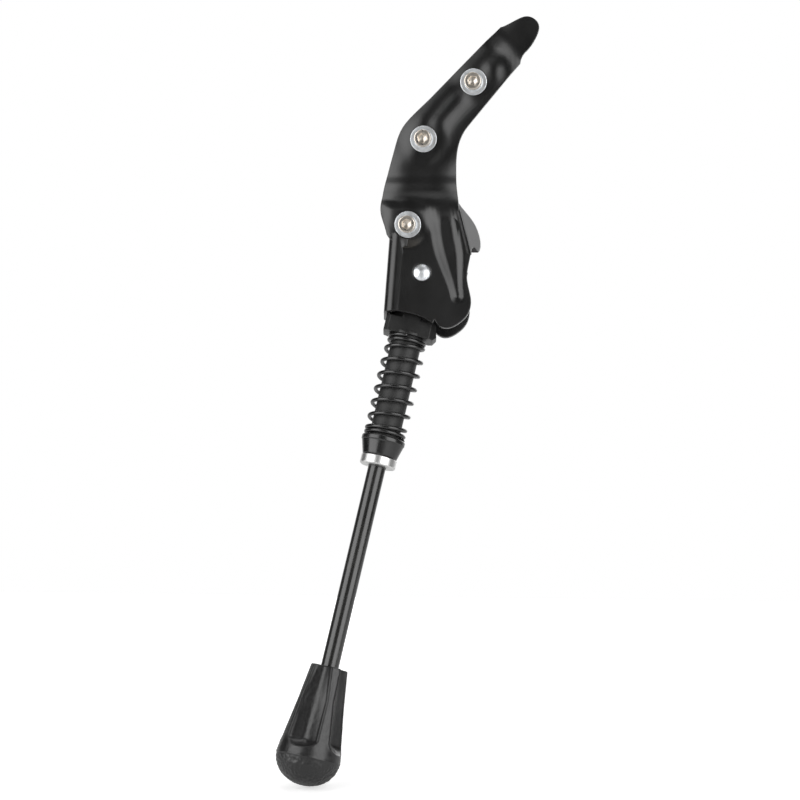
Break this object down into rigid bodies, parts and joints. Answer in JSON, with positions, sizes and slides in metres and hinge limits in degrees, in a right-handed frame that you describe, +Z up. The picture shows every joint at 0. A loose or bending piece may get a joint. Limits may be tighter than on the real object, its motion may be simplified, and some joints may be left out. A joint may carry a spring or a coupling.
{
  "type": "bicycle kickstand",
  "caption": "Black bicycle side stand: pressed bracket that clamps to the rear stays, spring-held folding leg, telescoping rod and fluted rubber foot.",
  "frame": {"origin": "axis of the chain stay at the clamp, level with the two lower bolts", "axes": "+X back along the chain stay, +Y inward to the wheel, +Z up; the leg hangs down and out on the -Y side"},
  "size_m": [0.1237, 0.0941, 0.3743],
  "materials": {
    "satin_black_steel": "satin black coat over pressed steel",
    "cast_black": "matte black coat over cast alloy",
    "zinc": "bright zinc plate",
    "nickel": "warm nickel plate",
    "white_plastic": "moulded",
    "dark_grey_tube": "matte dark grey",
    "satin_black_alloy": "satin black",
    "bare_aluminium": "turned, bare",
    "black_screw": "black oxide",
    "grey_plastic": "fine grain",
    "gloss_black_wire": "gloss black",
    "gloss_black_rod": "gloss black",
    "grey_rubber": "matte, pebbled at the end"
  },
  "bodies": {
    "clamp": {"bracket": "satin_black_steel", "counter_plate": "cast_black", "pivot_rivet": "zinc", "thrust_washer_outer": "white_plastic", "thrust_washer_inner": "white_plastic", "upper_bolt": "nickel", "upper_flat_washer": "zinc", "upper_lock_washer": "zinc", "middle_bolt": "nickel", "middle_flat_washer": "zinc", "middle_lock_washer": "zinc", "lower_bolt": "nickel", "lower_flat_washer": "zinc", "lower_lock_washer": "zinc"},
    "leg": {"leg_tube": "dark_grey_tube", "spring_seat": "satin_black_alloy", "end_ring": "bare_aluminium", "set_screw": "black_screw", "spring": "gloss_black_wire"},
    "collar": {"spring_collar": "grey_plastic"},
    "rod": {"leg_rod": "gloss_black_rod", "rubber_foot": "grey_rubber"}
  },
  "joints": [
    {"name": "leg_fold", "type": "hinge", "parent": "clamp", "child": "leg", "pos_m": [0.0025, -0.0063, -0.0437], "axis": [0.1022, -0.9728, 0.2079], "range_deg": [0, 90]},
    {"name": "collar_slide", "type": "slide", "parent": "leg", "child": "collar", "axis": [-0.2042, -0.2251, -0.9527], "range_m": [0, 0.009], "stiffness_N_per_m": 3000, "springref_m": -0.01, "deforming": ["spring"]},
    {"name": "leg_length", "type": "slide", "parent": "leg", "child": "rod", "axis": [0.2042, 0.2251, 0.9527], "range_m": [0, 0.04]}
  ]
}
